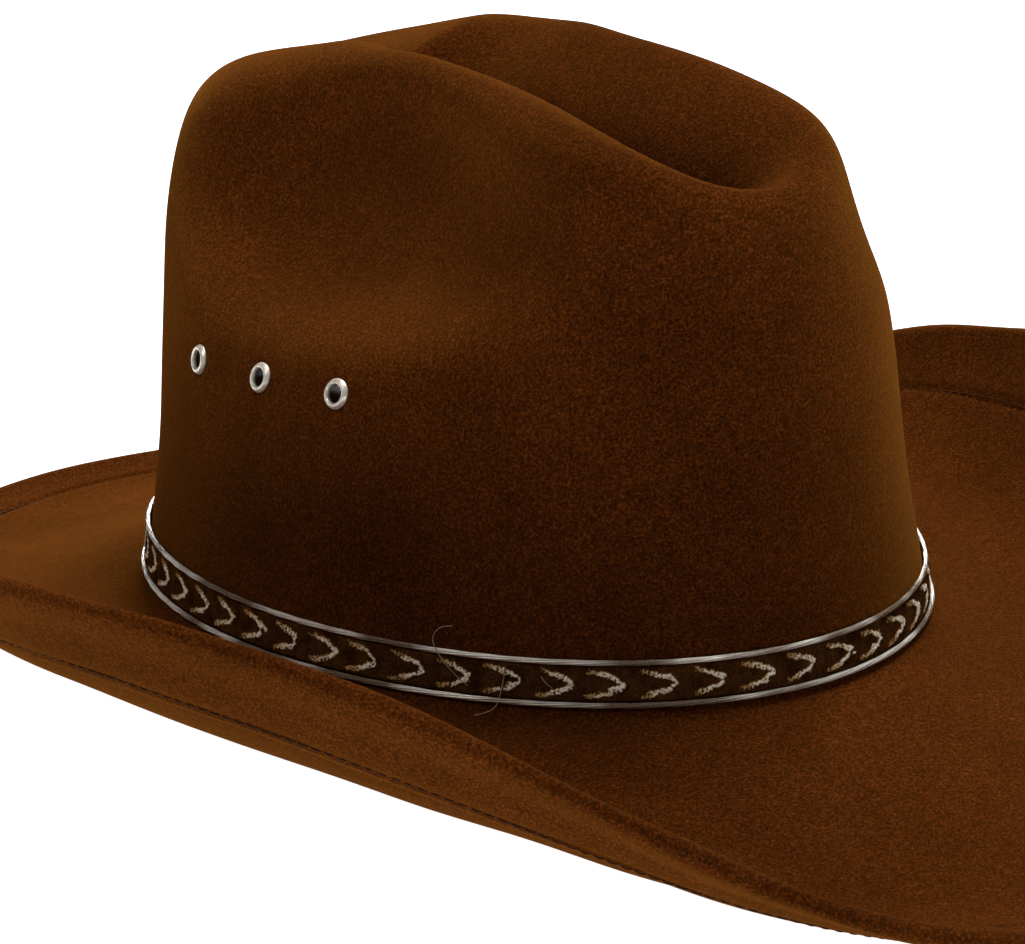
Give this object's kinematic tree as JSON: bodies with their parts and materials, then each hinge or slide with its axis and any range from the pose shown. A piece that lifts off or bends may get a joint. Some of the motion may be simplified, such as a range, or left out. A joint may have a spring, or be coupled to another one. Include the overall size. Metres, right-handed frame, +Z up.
{
  "type": "cowboy hat",
  "caption": "Felt western hat with a creased and dented crown, a stitched brim rolled up at both sides, metal vent eyelets and a narrow chevron hatband",
  "frame": {"origin": "on the surface the hat stands on, below the middle of its overall length and width", "axes": "+Z up, -Y the front of the hat, +Y the back, +X the wearer's left"},
  "size_m": [0.3166, 0.3994, 0.1573],
  "materials": {
    "felt": "brushed wool felt with a short nap, dark brown",
    "thread": "twisted polyester sewing thread, dark brown",
    "tack_thread": "pale twisted thread",
    "ribbon": "woven ribbon, dark brown with a pale chevron pattern",
    "silver_cord": "metallic silver cord",
    "nickel": "nickel plate, lightly worn",
    "steel_wire": "drawn spring steel wire",
    "sweatband": "woven elastic sweatband, dark brown",
    "bow_ribbon": "narrow satin ribbon, dark brown"
  },
  "bodies": {
    "root": {"felt_body": "felt", "brim_wire": "steel_wire", "brim_wire_sleeve": "steel_wire", "hem_stitch_top": "thread", "hem_stitch_under": "thread", "hatband_ribbon": "ribbon", "hatband_top_cord": "silver_cord", "hatband_bottom_cord": "silver_cord", "hatband_join_tab": "ribbon", "hatband_tacks": "tack_thread", "sweatband": "sweatband", "sweatband_stitch": "thread", "sweatband_bow": "bow_ribbon", "eyelet_left_1": "nickel", "eyelet_washer_left_1": "nickel", "eyelet_left_2": "nickel", "eyelet_washer_left_2": "nickel", "eyelet_left_3": "nickel", "eyelet_washer_left_3": "nickel", "eyelet_right_1": "nickel", "eyelet_washer_right_1": "nickel", "eyelet_right_2": "nickel", "eyelet_washer_right_2": "nickel", "eyelet_right_3": "nickel", "eyelet_washer_right_3": "nickel"}
  },
  "joints": []
}
